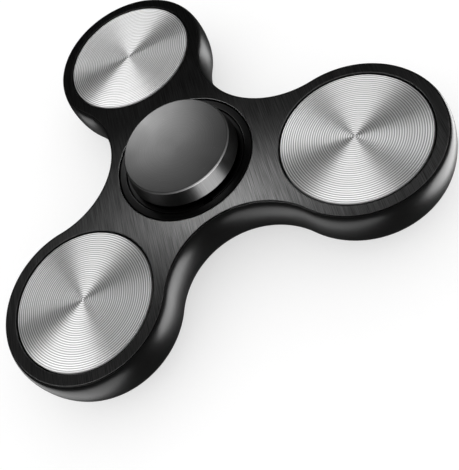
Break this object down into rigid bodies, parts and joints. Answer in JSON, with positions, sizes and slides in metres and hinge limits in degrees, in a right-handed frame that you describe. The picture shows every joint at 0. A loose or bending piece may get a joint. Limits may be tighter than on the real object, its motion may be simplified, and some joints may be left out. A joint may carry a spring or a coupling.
{
  "type": "fidget spinner",
  "caption": "Flat lobed spinner held between two finger caps: a brushed metal frame with rounded edges and spun-metal discs on its lobes turns on a shielded ball bearing.",
  "frame": {"origin": "centre of the lower cap's flat outer face, on the spin axis; the spinner rests on this face", "axes": "+Z along the spin axis, from the lower cap up through the upper cap; +X from the spin axis towards lobe 1; +Y completes the right hand"},
  "size_m": [0.067, 0.0732, 0.0142],
  "materials": {
    "frame": "black anodised, straight-brushed faces, polished rounded sides",
    "spun_discs": "concentric spun-turned grooves, bright",
    "weights": "turned, plain",
    "caps": "black anodised satin face, polished skirt and chamfer",
    "bearing_rings": "black oxide over ground bearing steel",
    "balls": "lapped bearing steel, mirror polished",
    "cage": "moulded nylon, matt",
    "shields": "black pressed sheet steel",
    "snap_rings": "spring steel, darkened"
  },
  "bodies": {
    "finger_grip": {"upper_cap": "caps", "lower_cap": "caps", "bearing_inner_ring": "bearing_rings"},
    "rotor": {"spinner_body": "frame", "bearing_outer_ring": "bearing_rings", "upper_shield": "shields", "lower_shield": "shields", "upper_snap_ring": "snap_rings", "lower_snap_ring": "snap_rings", "lobe_weight_1": "weights", "upper_disc_1": "spun_discs", "lower_disc_1": "spun_discs", "lobe_weight_2": "weights", "upper_disc_2": "spun_discs", "lower_disc_2": "spun_discs", "lobe_weight_3": "weights", "upper_disc_3": "spun_discs", "lower_disc_3": "spun_discs"},
    "cage": {"ball_cage": "cage"},
    "rolling_ball_1": {"ball_1": "balls"},
    "rolling_ball_2": {"ball_2": "balls"},
    "rolling_ball_3": {"ball_3": "balls"},
    "rolling_ball_4": {"ball_4": "balls"},
    "rolling_ball_5": {"ball_5": "balls"},
    "rolling_ball_6": {"ball_6": "balls"},
    "rolling_ball_7": {"ball_7": "balls"}
  },
  "joints": [
    {"name": "rotor_spin", "type": "hinge", "parent": "finger_grip", "child": "rotor", "pos_m": [0, 0, 0.0071], "axis": [0, 0, 1], "continuous": true},
    {"name": "cage_orbit", "type": "hinge", "parent": "finger_grip", "child": "cage", "pos_m": [0, 0, 0.0071], "axis": [0, 0, 1], "continuous": true},
    {"name": "ball_roll_1", "type": "hinge", "parent": "cage", "child": "rolling_ball_1", "pos_m": [0.0075, 0, 0.0071], "axis": [0, 0, 1], "continuous": true},
    {"name": "ball_roll_2", "type": "hinge", "parent": "cage", "child": "rolling_ball_2", "pos_m": [0.00468, 0.00586, 0.0071], "axis": [0, 0, 1], "continuous": true},
    {"name": "ball_roll_3", "type": "hinge", "parent": "cage", "child": "rolling_ball_3", "pos_m": [-0.00167, 0.00731, 0.0071], "axis": [0, 0, 1], "continuous": true},
    {"name": "ball_roll_4", "type": "hinge", "parent": "cage", "child": "rolling_ball_4", "pos_m": [-0.00676, 0.00325, 0.0071], "axis": [0, 0, 1], "continuous": true},
    {"name": "ball_roll_5", "type": "hinge", "parent": "cage", "child": "rolling_ball_5", "pos_m": [-0.00676, -0.00325, 0.0071], "axis": [0, 0, 1], "continuous": true},
    {"name": "ball_roll_6", "type": "hinge", "parent": "cage", "child": "rolling_ball_6", "pos_m": [-0.00167, -0.00731, 0.0071], "axis": [0, 0, 1], "continuous": true},
    {"name": "ball_roll_7", "type": "hinge", "parent": "cage", "child": "rolling_ball_7", "pos_m": [0.00468, -0.00586, 0.0071], "axis": [0, 0, 1], "continuous": true}
  ],
  "couplings": [
    {"joint": "cage_orbit", "follows": "rotor_spin", "ratio": 0.6323},
    {"joint": "ball_roll_1", "follows": "rotor_spin", "ratio": 1.7573},
    {"joint": "ball_roll_2", "follows": "rotor_spin", "ratio": 1.7573},
    {"joint": "ball_roll_3", "follows": "rotor_spin", "ratio": 1.7573},
    {"joint": "ball_roll_4", "follows": "rotor_spin", "ratio": 1.7573},
    {"joint": "ball_roll_5", "follows": "rotor_spin", "ratio": 1.7573},
    {"joint": "ball_roll_6", "follows": "rotor_spin", "ratio": 1.7573},
    {"joint": "ball_roll_7", "follows": "rotor_spin", "ratio": 1.7573}
  ]
}
